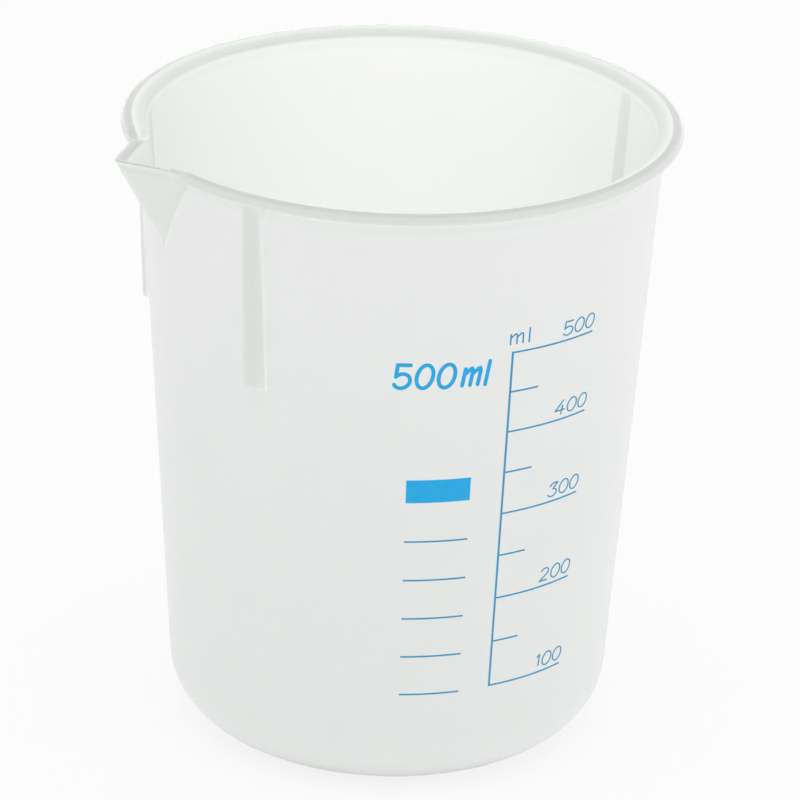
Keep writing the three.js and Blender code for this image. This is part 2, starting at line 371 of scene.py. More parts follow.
@dataclass(frozen=True)
class PrintedInk:
    """Blue screen-printed ink, slightly uneven in its cover."""

    surface: bpy.types.NodeTree
    name: str = "blue_ink"
    full_colour: Colour = (0.010, 0.380, 0.790, 1.0)
    thin_colour: Colour = (0.030, 0.440, 0.820, 1.0)
    roughness: Pair = (0.42, 0.58)
    shine: float = 0.2
    cloud_scale: float = 900.0
    grain_scale: float = 6000.0
    grain: Pair = (0.02, 0.3)

    def material(self) -> bpy.types.Material:
        """Builds the material.

        Returns:
            The material.
        """
        material, sheet, shader = start_material(self.name)
        skin = sheet.add("ShaderNodeGroup", node_tree=self.surface)
        sheet.fill(skin, {"Cloud Scale": self.cloud_scale, "Grain Scale": self.grain_scale})
        grain = skin.outputs["Grain"]
        sheet.fill(shader, {
            "Base Color": sheet.blend(skin.outputs["Cloud"], self.full_colour, self.thin_colour),
            "Roughness": sheet.spread(grain, *self.roughness),
            "Specular IOR Level": self.shine,
            "Normal": sheet.relief(grain, self.grain),
        })
        return material


def seen_directly(sheet: NodeSheet) -> Socket:
    """Finds the rays that see a surface directly.

    Args:
        sheet: The node sheet of the surface or of the world.

    Returns:
        1 for a ray from the camera, or for one that a gloss or a clear body sends on, and otherwise 0.
    """
    path = sheet.add("ShaderNodeLightPath")
    mirrored = sheet.maths("MAXIMUM", path.outputs["Is Glossy Ray"], path.outputs["Is Transmission Ray"])
    return sheet.maths("MAXIMUM", path.outputs["Is Camera Ray"], mirrored)


@dataclass(frozen=True)
class WhiteSweep:
    """Matt white paper of the studio floor, which the camera sees as white except for the shadow on it."""

    paper: Colour = (0.94, 0.94, 0.94, 1.0)
    roughness: float = 0.9
    seen_white: float = 0.85
    glow: float = 0.97

    def material(self) -> bpy.types.Material:
        """Builds the material.

        Returns:
            The material.
        """
        material, sheet, shader = start_material("white_sweep")
        matt = {"Base Color": self.paper, "Roughness": self.roughness, "Specular IOR Level": 0.0}
        sheet.fill(shader, matt)
        glow = sheet.add("ShaderNodeEmission")
        sheet.fill(glow, {"Strength": self.glow})
        seen = sheet.maths("MULTIPLY", seen_directly(sheet), self.seen_white)
        mixed = sheet.add("ShaderNodeMixShader")
        for target, source in zip(mixed.inputs, (seen, shader.outputs["BSDF"], glow.outputs["Emission"])):
            sheet.feed(target, source)
        sheet.fill(material.node_tree.nodes["Material Output"], {"Surface": mixed.outputs["Shader"]})
        return material


@dataclass
class CupForm:
    """Sizes of the cup that the moulding and the print share."""

    height: float = 120.2
    foot_radius: float = 41.13
    draft: float = 3.57
    wall: float = 1.6
    floor: float = 2.0
    corner: float = 12.4

    @property
    def slope(self) -> float:
        """How much the wall's radius grows for each unit of height."""
        return math.tan(math.radians(self.draft))

    @property
    def across(self) -> float:
        """The length of a level step through a wall of unit thickness."""
        return 1.0 / math.cos(math.radians(self.draft))

    def wall_radius(self, height: np.ndarray | float) -> np.ndarray | float:
        """Gives the outer wall's radius at a height."""
        return self.foot_radius + self.slope * height

    def cavity_radius(self, height: np.ndarray | float) -> np.ndarray | float:
        """Gives the inner wall's radius at a height."""
        return self.wall_radius(height) - self.wall * self.across


@dataclass
class Spout:
    """The V-shaped spout: two flat faces that meet in a blunt keel and run out on the wall below."""

    form: CupForm
    reach: float = 8.75
    edge_drop: float = 0.7
    edge_fall: float = 0.7
    depth: float = 18.5
    face_angle: float = 49.5
    keel_width: float = 0.8
    keel_round: float = 0.45
    outer_edge_round: float = 0.4
    inner_edge_round: float = 0.4
    root_round: float = 0.6
    # Painted shade: these darken the spout's faces, the brow under the edge, the edge and the edge's top in
    # the colour; tint_start and tint_end set where the faces take over from the wall.
    face_tint: float = 0.4
    brow_tint: float = 0.48
    edge_tint: float = 0.86
    rim_tint: float = 0.78
    tint_start: float = -0.25
    tint_end: float = 0.15
    run_out: float = 4.0
    crest_start: float = 10.5
    crest_end: float = 15.5
    azimuth: float = 180.0
    merge_start: float = 7.6
    merge_end: float = 11.2
    widest_turn: float = 60.0

    @property
    def edge_height(self) -> float:
        """The height of the spout's edge."""
        return self.form.height - self.edge_drop

    @property
    def edge_foot(self) -> float:
        """The height where the round on the outside of the edge starts."""
        return self.edge_height - self.outer_edge_round

    @property
    def inner_edge_height(self) -> float:
        """The height of the edge's inner side, to which its top slopes down."""
        return self.edge_height - self.edge_fall

    @property
    def apex_height(self) -> float:
        """The height where the keel starts on the wall."""
        return self.edge_height - self.depth

    @property
    def foot_height(self) -> float:
        """The height from which the rows follow the spout."""
        return self.apex_height - self.run_out

    @property
    def tip_radius(self) -> float:
        """How far the tip lies from the axis."""
        return self.form.wall_radius(self.form.height) + self.reach

    @property
    def inset(self) -> float:
        """How far the inside of the spout lies behind its outside, along the spout."""
        angle = math.radians(self.face_angle)
        keel = Vector((self.tip_radius - self.form.wall_radius(self.apex_height), 0.0, self.depth))
        edge = Vector((-math.cos(angle), math.sin(angle), 0.0))
        return self.form.wall / abs(edge.cross(keel).normalized().x)

    def face_radius(self, turn: np.ndarray, height: np.ndarray, inset: float) -> np.ndarray:
        """Gives the radius of the spout's faces.

        Args:
            turn: The angle from the middle of the spout, in degrees.
            height: The height over the base.
            inset: How far the face lies behind the outside, along the spout.

        Returns:
            The radius, or 0 where a ray from the axis can't meet the faces.
        """
        growth = (height - self.apex_height) / self.depth
        apex = self.form.wall_radius(self.apex_height)
        tip = apex - inset + growth * (self.tip_radius - apex)
        side = math.tan(math.radians(self.face_angle))
        ahead = np.cos(np.radians(turn))
        aside = np.abs(np.sin(np.radians(turn)))
        within = np.abs(turn) < self.widest_turn
        safe = np.where(within, ahead, 1.0)
        flank = (tip + growth * self.keel_width / 2 / side) / (safe + aside / side)
        return np.where(within, smooth_min(flank, tip / safe, self.keel_round), 0.0)

    def edge_relief(self, height: np.ndarray, top: float, size: float) -> np.ndarray:
        """Gives how far a rounded edge of a size draws in at a height near its top."""
        below = np.clip(top - height, 0.0, size)
        return size - np.sqrt(size * size - (size - below) ** 2)


@dataclass
class StackingRibs:
    """The three round-fronted ribs under the lip that keep nested cups apart."""

    form: CupForm
    turns: Values = (-31.0, 31.0, 180.0)
    width: float = 4.8
    stand_out: float = 1.6
    front_round: float = 1.3
    foot_height: float = 81.5
    foot_round: float = 0.35
    draft: float = 2.15
    root_round: float = 0.9
    middle_radius: float = 48.0
    side_fall: float = 5.0
    # The tints darken the ribs: partly the denser look of the plastic there, partly painted shade;
    # inner_tint puts it on the inner wall behind each rib.
    tint: float = 0.42
    inner_tint: float = 0.26
    full_tint_share: float = 0.6

    def relief(self, turn: np.ndarray, height: np.ndarray) -> np.ndarray:
        """Gives how far the ribs stand out of the wall.

        Args:
            turn: The angle from the middle of the spout, in degrees.
            height: The height over the base.

        Returns:
            The stand-out, 0 away from the ribs.
        """
        rise = height - self.foot_height
        front = self.stand_out - rise * (self.form.slope - math.tan(math.radians(self.draft)))
        total = np.zeros(np.broadcast(turn, height).shape)
        for middle in self.turns:
            away = np.abs((turn - middle + 180.0) % 360.0 - 180.0)
            past = np.radians(away) * self.middle_radius - (self.width / 2 - self.front_round)
            rounded = np.clip(past, 0.0, self.front_round)
            drop = self.front_round - np.sqrt(self.front_round**2 - rounded**2)
            fall = np.maximum(past - self.front_round, 0.0) * self.side_fall
            rib = smooth_max(front - drop - fall, np.zeros_like(total), self.root_round)
            total = np.maximum(total, rib)
        return total * smooth_step(rise, 0.0, self.foot_round)

    def tints(self, relief: np.ndarray, outer: np.ndarray) -> np.ndarray:
        """Gives how dark the wall is coloured at the ribs: partly the denser look of the ribs, partly
        painted shade.

        Args:
            relief: How far the ribs stand out.
            outer: Whether a place is on the outer wall.

        Returns:
            The tint, 0 away from the ribs.
        """
        strongest = np.where(outer, self.tint, self.inner_tint)
        return strongest * smooth_step(relief / self.stand_out, 0.0, self.full_tint_share)


@dataclass
class Lip:
    """The lip around the mouth.

    Its land falls outwards by the crown from a crease on its top. From the crease a slope runs down inwards
    to a round on the inner wall.
    """

    form: CupForm
    overhang: float = 3.15
    depth: float = 1.8
    nose: float = 0.9
    under_edge: float = 0.6
    root: float = 2.2
    land: float = 1.95
    crown: float = 12.0
    mouth_slope: float = 24.0
    mouth_round: float = 1.6
    # The tints darken the lip's colour: partly the denser look of the solid lip, partly painted shade that
    # sets its root, edge, crease, slope and bend darker or lighter. The foot and throat values are only
    # painted shade, on the walls just under the lip outside and inside.
    foot_tint: float = 0.26
    root_tint: float = 0.4
    edge_tint: float = 0.58
    nose_tint: float = 0.74
    land_tint: float = 0.79
    crease_tint: float = 0.48
    slope_tint: float = 0.52
    mouth_tint: float = 0.58
    bend_tint: float = 0.26
    throat_tint: float = 0.1
    fade_depth: float = 2.0
    edge_sink: float = 0.3

    @property
    def radius(self) -> float:
        """The radius of the lip's edge."""
        return self.form.wall_radius(self.form.height) + self.overhang

    @property
    def crease(self) -> float:
        """The radius of the crease on top of the lip."""
        return self.radius - self.land

    def faded_tint(self, height: np.ndarray, outer: np.ndarray) -> np.ndarray:
        """Gives the painted shade on the walls under the lip, where the lip's own tint fades out.

        Args:
            height: The height over the base.
            outer: Whether a place is on the outer wall.

        Returns:
            The tint, 0 away from the lip.
        """
        top = np.where(outer, self.form.height - self.depth - self.root, self.mouth_centre[1])
        strongest = np.where(outer, self.foot_tint, self.throat_tint)
        return strongest * smooth_step(height - top, -self.fade_depth, 0.0)

    @property
    def nose_centre(self) -> Pair:
        """The centre of the round on the lip's edge, which touches the crowned land."""
        angle = math.radians(self.crown)
        run = self.land - self.nose + self.nose * math.sin(angle)
        height = self.form.height - run * math.tan(angle) - self.nose * math.cos(angle)
        return self.radius - self.nose, height

    @property
    def mouth_centre(self) -> Pair:
        """The centre of the round that touches the inner wall and the slope of the mouth."""
        angle = math.radians(self.mouth_slope)
        outset = self.mouth_round * self.form.across
        run = (self.form.cavity_radius(0.0) + outset - self.crease) * math.sin(angle)
        rise = math.cos(angle) - self.form.slope * math.sin(angle)
        height = (self.form.height * math.cos(angle) - self.mouth_round + run) / rise
        return self.form.cavity_radius(height) + outset, height

    @property
    def slope_foot(self) -> Pair:
        """Where the slope of the mouth meets the round on the inner wall."""
        angle = math.radians(90.0 + self.mouth_slope)
        radius, height = self.mouth_centre
        return radius + self.mouth_round * math.cos(angle), height + self.mouth_round * math.sin(angle)


@dataclass
class Section:
    """The section of the wall from the middle of the base round to the middle of the floor, row by row."""

    blocks: list[np.ndarray] = field(default_factory=list)

    @property
    def end(self) -> Pair:
        """The radius and the height of the last row so far."""
        radius, height = self.blocks[-1][:2, -1]
        return radius, height

    def table(self) -> np.ndarray:
        """Gives a line each of radii, heights, spout heights, sides, tints, spout tints and sinks."""
        return np.hstack(self.blocks)

    def add(
        self,
        side: Side,
        points: np.ndarray,
        spout_height: np.ndarray | None = None,
        tint: Values = (0.0,),
        spout_tint: Values = (0.0,),
        sink: Values = (0.0,),
    ) -> None:
        """Adds rows.

        Args:
            side: The side of the wall that the rows are on.
            points: Their radii and their heights away from the spout.
            spout_height: Their heights in the spout, where these differ.
            tint: How dark they are coloured away from the spout, partly for density and partly as painted
                shade, at even steps from the first to the last.
            spout_tint: The painted shade they have in the spout, in the same way.
            sink: How far they follow the crest of the lip, which sinks towards the spout, in the same way.
        """
        count = points.shape[1]
        share = np.linspace(0.0, 1.0, count)
        low = points[1] if spout_height is None else spout_height
        lines = [points, low, np.full(count, side.value)]
        for stops in (tint, spout_tint, sink):
            lines.append(np.interp(share, np.linspace(0.0, 1.0, len(stops)), stops))
        self.blocks.append(np.vstack(lines))


@dataclass
class Moulding:
    """The whole plastic moulding: cup, lip, spout and ribs in one piece."""

    form: CupForm
    finish: bpy.types.Material
    gate_radius: float = 4.0
    gate_depth: float = 0.4
    gate_nub: float = 1.1
    gate_round: float = 0.3
    gate_inner_round: float = 0.5
    nub_share: float = 0.6
    pole_radius: float = 0.5
    gate_margin: float = 0.6
    base_start: float = 8.0
    spout_lead: float = 2.5
    foot_lead: float = 1.0
    foot_edge: float = 0.02
    gate_rows: int = 18
    base_rows: int = 6
    edge_rows: int = 5
    arc_rows: int = 16
    small_arc_rows: int = 8
    land_rows: int = 3
    mouth_rows: int = 12
    wall_rows: int = 24
    spout_rows: int = 66
    foot_rows: int = 6
    floor_rows: int = 8
    wide_turn: float = 1.5
    close_turn: float = 0.18
    crest_margin: float = 2.0
    rib_margin: float = 0.3
    rib_flat_columns: int = 3
    rib_round_columns: int = 9
    keel_turns: Values = (0.0, 0.12, 0.25, 0.4, 0.6, 0.85, 1.15)
    rib_root_turns: Values = (0.03, 0.07, 0.12, 0.2, 0.32, 0.6)

    def __post_init__(self) -> None:
        """Makes the parts of the form that depend on the cup."""
        self.lip = Lip(self.form)
        self.spout = Spout(self.form)
        self.ribs = StackingRibs(self.form)

    @property
    def round_steps(self) -> np.ndarray:
        """The angles of the rows round a small edge, from its start on."""
        return np.radians(np.linspace(0.0, 90.0, self.small_arc_rows + 1))

    def arc(self, centre: Pair, radius: float, start: float, end: float, rows: int) -> np.ndarray:
        """Gives the points of an arc of the section, without its first one.

        Args:
            centre: The radius and height of its centre.
            radius: The radius of the arc.
            start: The angle where it starts, in degrees.
            end: The angle where it ends, in degrees.
            rows: How many points it has.

        Returns:
            Two rows: the points' radii and their heights.
        """
        angles = np.radians(np.linspace(start, end, rows + 1)[1:])
        return np.array([centre[0] + radius * np.cos(angles), centre[1] + radius * np.sin(angles)])

    def gate_relief(self, radius: np.ndarray) -> np.ndarray:
        """Gives how far the base is sunk around the moulding gate at its middle.

        Args:
            radius: The distance from the axis.

        Returns:
            The depth, 0 away from the gate.
        """
        dish_start = self.gate_radius - self.gate_inner_round
        dish = 1.0 - smooth_step(radius, dish_start, self.gate_radius + self.gate_round)
        nub = 1.0 - smooth_step(radius, self.gate_nub - self.gate_round, self.gate_nub + self.gate_round)
        return self.gate_depth * (dish - self.nub_share * nub)

    def wall_heights(self, bottom: float, top: float) -> np.ndarray:
        """Gives the heights of the rows up the wall, close together at the spout and the ribs' feet.

        Args:
            bottom: The height where the wall starts, which has its row already.
            top: The height where it ends.

        Returns:
            The heights, from the lowest up.
        """
        foot = self.ribs.foot_height
        spout_foot = self.spout.apex_height - self.spout_lead
        return np.concatenate([
            np.linspace(bottom, foot - self.foot_lead, self.wall_rows)[1:],
            np.linspace(foot - self.foot_edge, foot + self.ribs.foot_round, self.foot_rows),
            np.linspace(foot + self.foot_lead, spout_foot, self.foot_rows),
            np.linspace(spout_foot, top, self.spout_rows)[1:],
        ])

    def section(self) -> Section:
        """Builds the section of the cup and lip.

        Returns:
            The section.
        """
        rows = Section()
        self.add_outside(rows)
        self.add_lip_edge(rows)
        self.add_lip_top(rows)
        self.add_mouth_round(rows)
        self.add_inside(rows)
        return rows

    def add_outside(self, rows: Section) -> None:
        """Adds the base, its corner and the outer wall up to the root of the lip.

        Args:
            rows: The section so far.
        """
        form, lip = self.form, self.lip
        flat = form.wall_radius(form.corner) - form.corner * form.across
        gate = np.linspace(self.pole_radius, self.gate_radius + self.gate_margin, self.gate_rows)
        radii = np.concatenate([gate, np.linspace(self.base_start, flat, self.base_rows)])
        rows.add(Side.OUTER, np.array([radii, self.gate_relief(radii)]))
        corner = self.arc((flat, form.corner), form.corner, -90.0, -form.draft, self.arc_rows)
        rows.add(Side.OUTER, corner)
        root_height = form.height - lip.depth - lip.root
        top = root_height + lip.root * math.sin(math.radians(form.draft))
        heights = self.wall_heights(corner[1][-1], top)
        rows.add(Side.OUTER, np.array([form.wall_radius(heights), heights]))

    def add_lip_edge(self, rows: Section) -> None:
        """Adds the root of the lip and its edge up to the land.

        Args:
            rows: The section so far.
        """
        form, lip, spout = self.form, self.lip, self.spout
        under = form.height - lip.depth
        root_centre = (form.wall_radius(under - lip.root) + lip.root * form.across, under - lip.root)
        root = self.arc(root_centre, lip.root, 180.0 - form.draft, 90.0, self.small_arc_rows)
        edge_centre = (lip.radius - lip.under_edge, under + lip.under_edge)
        edge = self.arc(edge_centre, lip.under_edge, -90.0, 0.0, self.edge_rows)
        rise = np.linspace(rows.end[1], spout.edge_foot, self.small_arc_rows + self.edge_rows + 1)[1:]
        root_rise, edge_rise = np.split(rise, [self.small_arc_rows])
        face_tints = (spout.face_tint, spout.brow_tint)
        rows.add(Side.OUTER, root, root_rise, (lip.foot_tint, lip.root_tint), face_tints)
        edge_tints = (lip.root_tint, lip.edge_tint)
        rows.add(Side.OUTER, edge, edge_rise, edge_tints, (spout.brow_tint,), (0.0, lip.edge_sink))

        nose = self.arc(lip.nose_centre, lip.nose, 0.0, 90.0 - lip.crown, self.small_arc_rows)
        nose_rise = spout.edge_foot + spout.outer_edge_round * np.sin(self.round_steps[1:])
        nose_tints = (lip.edge_tint, lip.nose_tint)
        rows.add(Side.OUTER, nose, nose_rise, nose_tints, (spout.edge_tint,), (lip.edge_sink, 1.0))

    def add_lip_top(self, rows: Section) -> None:
        """Adds the land of the lip and the slope of the mouth.

        Args:
            rows: The section so far.
        """
        lip, spout = self.lip, self.spout
        crease = (lip.crease, self.form.height)
        land = np.linspace(rows.end, crease, self.land_rows + 2)[1:].T
        slope = np.linspace(crease, lip.slope_foot, self.mouth_rows + 2)[1:-1].T
        count = land.shape[1] + slope.shape[1]
        fall = np.linspace(spout.edge_height, spout.inner_edge_height, count + 2)[1:-1]
        land_fall, slope_fall = np.split(fall, [land.shape[1]])
        rim_tints = (spout.rim_tint,)
        full = (1.0,)
        rows.add(Side.LAND, land, land_fall, (lip.land_tint,), rim_tints, full)
        slope_tints = (lip.crease_tint, lip.crease_tint, lip.slope_tint, lip.mouth_tint, lip.mouth_tint)
        rows.add(Side.MOUTH, slope, slope_fall, slope_tints, rim_tints, full)

    def add_mouth_round(self, rows: Section) -> None:
        """Adds the round between the slope of the mouth and the inner wall.

        Args:
            rows: The section so far.
        """
        lip, spout = self.lip, self.spout
        start, end = 90.0 + lip.mouth_slope, 180.0 - self.form.draft
        bend = self.arc(lip.mouth_centre, lip.mouth_round, start, end, 2 * self.small_arc_rows)
        bend = np.column_stack([lip.slope_foot, bend])
        turn_in = spout.inner_edge_height - spout.inner_edge_round * (1.0 - np.cos(self.round_steps))
        down = np.linspace(turn_in[-1], bend[1][-1], self.small_arc_rows + 1)[1:]
        bend_tints = (lip.mouth_tint, lip.mouth_tint, lip.bend_tint, lip.throat_tint)
        inner_tints = (spout.rim_tint, 0.0)
        rows.add(Side.INNER, bend, np.concatenate([turn_in, down]), bend_tints, inner_tints, (1.0, 0.0))

    def add_inside(self, rows: Section) -> None:
        """Adds the inner wall, the inner corner and the floor.

        Args:
            rows: The section so far.
        """
        form = self.form
        corner = form.corner - form.wall
        level = form.floor + corner
        flat = form.cavity_radius(level) - corner * form.across
        arc = self.arc((flat, level), corner, -90.0, -form.draft, self.arc_rows)
        heights = self.wall_heights(arc[1][-1], rows.end[1])[::-1][1:]
        rows.add(Side.INNER, np.array([form.cavity_radius(heights), heights]))
        rows.add(Side.INNER, arc[:, ::-1])
        radii = np.linspace(flat, self.pole_radius, self.floor_rows)
        rows.add(Side.INNER, np.array([radii, np.full_like(radii, form.floor)]))

    def turns(self) -> np.ndarray:
        """Gives the angles of the columns round the cup, close together at the spout and the ribs.

        Returns:
            The angles from the middle of the spout, in degrees.
        """
        rib = self.ribs
        half = math.degrees(rib.width / 2 / rib.middle_radius)
        flank = half - math.degrees(rib.front_round / rib.middle_radius)
        quarter = np.radians(np.linspace(0.0, 90.0, self.rib_round_columns))
        across = np.concatenate([
            np.linspace(0.0, flank, self.rib_flat_columns),
            half - (half - flank) * (1.0 - np.sin(quarter[1:])),
            half + np.array(self.rib_root_turns),
        ])
        edge = across[-1] + self.rib_margin
        turns: list[float] = list(self.keel_turns[:-1])
        crest = self.spout.crest_end + self.crest_margin
        turns.extend(np.arange(self.keel_turns[-1], crest, self.close_turn))
        for middle in sorted({abs(turn) for turn in rib.turns}):
            turns.extend(np.arange(turns[-1] + self.wide_turn, middle - edge, self.wide_turn))
            turns.extend(middle - across[::-1])
            turns.extend((middle + across[1:]) if middle < 180.0 else [])
        half_round = np.array(turns)
        return np.concatenate([half_round, -half_round[-2:0:-1]])

    def surface(self, rows: Section) -> tuple[np.ndarray, np.ndarray, np.ndarray, np.ndarray]:
        """Works out the points of the moulding's skin.

        Args:
            rows: The section away from the spout.

        Returns:
            The columns' angles, and for each column and row the radius, the height and the tint, partly
            density and partly painted shade.
        """
        form, spout = self.form, self.spout
        turn = self.turns()[:, None]
        radius, height, low, side, tint, spout_tint, sink = rows.table()[:, None, :]
        outer, land, mouth = (side == kind.value for kind in (Side.OUTER, Side.LAND, Side.MOUTH))
        near_spout = 1.0 - smooth_step(np.abs(turn), spout.crest_start, spout.crest_end)
        height = height - spout.edge_drop * near_spout * sink
        relief = self.ribs.relief(turn, height)

        # The section with its ribs, where the faces of the spout come through it.
        ribbed = np.where(relief > 0.0, np.maximum(radius, form.wall_radius(height) + relief), radius)
        face = spout.face_radius(turn, height, 0.0)
        out_face = smooth_max(ribbed, face, spout.root_round)
        back_face = spout.face_radius(turn, height, spout.inset)
        in_face = smooth_max(radius + 0.0 * turn, back_face, spout.root_round)
        plain = np.where(outer, out_face, in_face)
        self.bridge(plain, np.flatnonzero(land[0])[:-1])

        # The same rows at their heights in the spout.
        out_edge = spout.face_radius(turn, low, 0.0)
        out_edge -= spout.edge_relief(low, spout.edge_height, spout.outer_edge_round)
        in_edge = spout.face_radius(turn, low, spout.inset)
        in_edge += spout.edge_relief(low, spout.inner_edge_height, spout.inner_edge_round)
        ribbed_low = form.wall_radius(low) + self.ribs.relief(turn, low)
        out_low = smooth_max(ribbed_low, out_edge, spout.root_round)
        in_low = smooth_max(form.cavity_radius(low) + 0.0 * turn, in_edge, spout.root_round)
        poured = np.where(outer, out_low, in_low)
        self.bridge(poured, np.flatnonzero((land | mouth)[0]))

        # The first form run into the second at the sides of the spout.
        merge = 1.0 - smooth_step(np.abs(turn), spout.merge_start, spout.merge_end)
        high = (radius > form.cavity_radius(spout.foot_height)) & (height > spout.foot_height)
        in_spout = merge * high
        full_radius = plain + in_spout * (poured - plain)
        full_height = height + in_spout * (low - height)

        # How dark the plastic is coloured: partly the denser look of the solid lip and ribs, partly painted
        # shade at the spout, under the lip and round its mouth.
        lip_tint = np.where(tint > 0.0, tint, self.lip.faded_tint(height, outer))
        ahead = face - np.where(outer, ribbed, radius + form.wall)
        swallowed = smooth_step(ahead, spout.tint_start, spout.tint_end)
        lip_tint = lip_tint + swallowed * (spout.face_tint - lip_tint)
        edge_tint = np.maximum(spout_tint, swallowed * spout.face_tint)
        full_tint = lip_tint + in_spout * (edge_tint - lip_tint)
        full_tint = np.maximum(full_tint, self.ribs.tints(relief, outer))
        return turn[:, 0], full_radius, full_height, np.clip(full_tint, 0.0, 1.0)

    @staticmethod
    def bridge(grid: np.ndarray, rows: np.ndarray) -> None:
        """Spreads rows of a grid evenly between the row before them and the row after them.

        Args:
            grid: The grid, with a line for each column.
            rows: The numbers of the rows.
        """
        first, last = rows[0] - 1, rows[-1] + 1
        share = (rows - first) / (last - first)
        grid[:, rows] = grid[:, [first]] + share * (grid[:, [last]] - grid[:, [first]])

    def build(self) -> Piece:
        """Builds the moulding's mesh.

        Returns:
            The piece.
        """
        turn, radius, height, tint = self.surface(self.section())
        columns, count = radius.shape
        angle = np.radians(turn + self.spout.azimuth)[:, None]
        grid = np.stack([radius * np.cos(angle), radius * np.sin(angle), height], axis=2).reshape(-1, 3)
        poles = [[0.0, 0.0, height[0, 0]], [0.0, 0.0, height[0, -1]]]
        base, floor = len(grid), len(grid) + 1
        faces: Faces = []
        for column in range(columns):
            here, there = column * count, (column + 1) % columns * count
            faces.append((base, there, here))
            for row in range(count - 1):
                faces.append((here + row, there + row, there + row + 1, here + row + 1))
            faces.append((here + count - 1, there + count - 1, floor))
        piece = mesh_piece("beaker_moulding", np.concatenate([grid, poles]), faces, smooth=True)
        # The tints go on the mesh as the thickness attribute: painted shade as well as the denser look of
        # solid plastic.
        thickness = piece.data.attributes.new("thickness", "FLOAT", "POINT")
        thickness.data.foreach_set("value", np.append(tint, [0.0, 0.0]).astype(np.float32))
        return piece

    def dress(self, piece: Piece) -> Piece:
        """Gives the moulding its finish and its place on the frame.

        Args:
            piece: The moulding's mesh.

        Returns:
            The same piece.
        """
        piece.data.materials.append(self.finish)
        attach(piece, BODY)
        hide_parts("moulded_body")
        return piece


@dataclass(frozen=True)
class Stroke:
    """One stroke of the printing screen: a centre line with a width."""

    points: np.ndarray
    width: float
    ends: StrokeEnd = StrokeEnd.ROUND
    closed: bool = False

    def polygons(self) -> list[np.ndarray]:
        """Gives the stroke as polygons.

        Returns:
            The corners of the quads along its line, and of the discs at its round ends.
        """
        points = np.vstack([self.points, self.points[:1]]) if self.closed else self.points
        steps = np.diff(points, axis=0)
        along = steps / np.linalg.norm(steps, axis=1, keepdims=True)
        into = np.vstack([along[-1] if self.closed else along[0], along])
        out = np.vstack([along, along[0] if self.closed else along[-1]])
        mean = into + out
        mean /= np.linalg.norm(mean, axis=1, keepdims=True)
        mitre = 1.0 / np.maximum(np.sum(mean * into, axis=1, keepdims=True), MITRE_LIMIT)
        across = np.column_stack([-mean[:, 1], mean[:, 0]]) * mitre * self.width / 2
        left, right = points + across, points - across
        found = [np.array([left[i], right[i], right[i + 1], left[i + 1]]) for i in range(len(points) - 1)]
        if self.ends is StrokeEnd.ROUND and not self.closed:
            found.extend(self.disc(end) for end in (points[0], points[-1]))
        return found

    def disc(self, centre: np.ndarray) -> np.ndarray:
        """Gives a disc as wide as the stroke."""
        angles = np.linspace(0.0, 2.0 * math.pi, DISC_CORNERS, endpoint=False)
        return centre + self.width / 2 * np.column_stack([np.cos(angles), np.sin(angles)])


@dataclass(frozen=True)
class WallPlace:
    """Where a node of printed film lies on the unrolled wall."""

    azimuth: float
    height: float
    width: float
    tall: float

    @classmethod
    def of_node(cls, node: str, form: CupForm) -> "WallPlace":
        """Reads the place from a node of the frame.

        Args:
            node: The node's name.
            form: The cup that it lies on.

        Returns:
            The middle of the film, with its length round the wall and its height.
        """
        spots = np.array([v.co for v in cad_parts[node].data.vertices]) / MM
        angles = np.arctan2(spots[:, 1], spots[:, 0])
        low, high = spots[:, 2].min(), spots[:, 2].max()
        middle = (low + high) / 2
        span = np.ptp(angles) * form.wall_radius(middle)
        return cls((angles.min() + angles.max()) / 2, middle, span, high - low)


@dataclass(frozen=True)
class LetterSize:
    """The size of a kind of character: its box, the width of its stroke and its slant."""

    width: float
    tall: float
    stroke: float
    slant: float


